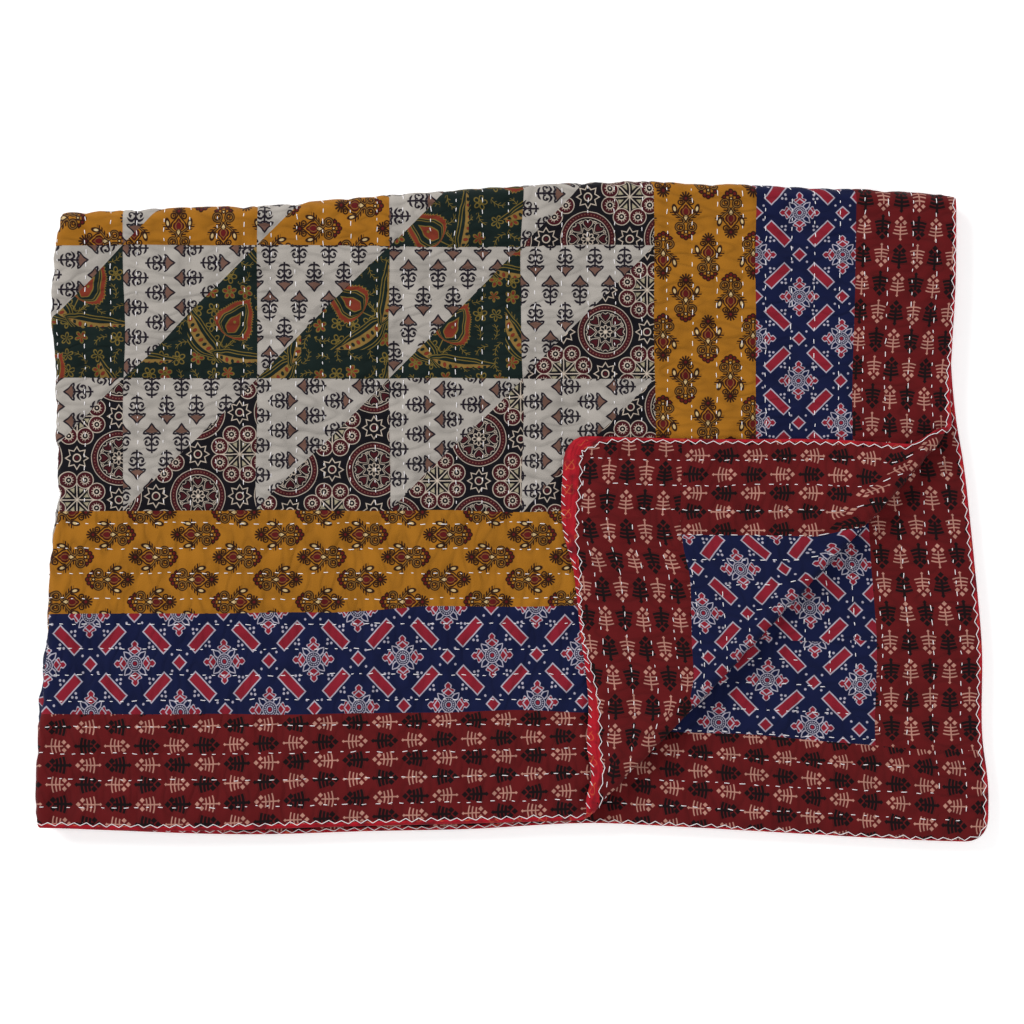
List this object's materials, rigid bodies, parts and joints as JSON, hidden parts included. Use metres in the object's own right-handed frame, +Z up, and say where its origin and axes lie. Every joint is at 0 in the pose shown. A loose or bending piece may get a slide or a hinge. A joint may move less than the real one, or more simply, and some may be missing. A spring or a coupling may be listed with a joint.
{
  "type": "kantha quilt",
  "caption": "Patchwork quilt with rows of running stitch and a rolled edge binding, folded in quarters with its top corner turned back.",
  "frame": {"origin": "middle of the footprint, on the surface that the folded quilt lies on", "axes": "+X towards the cut edges at the right, +Y towards the top fold, +Z up"},
  "size_m": [0.9354, 0.6484, 0.034],
  "materials": {
    "quilt_cloth": "block-printed cotton patchwork in dark red, navy, mustard, green and off-white, quilted with white running stitch",
    "binding_cloth": "bright red printed cotton bias strip"
  },
  "bodies": {
    "root": {"quilt": "quilt_cloth", "binding": "binding_cloth"}
  },
  "joints": []
}
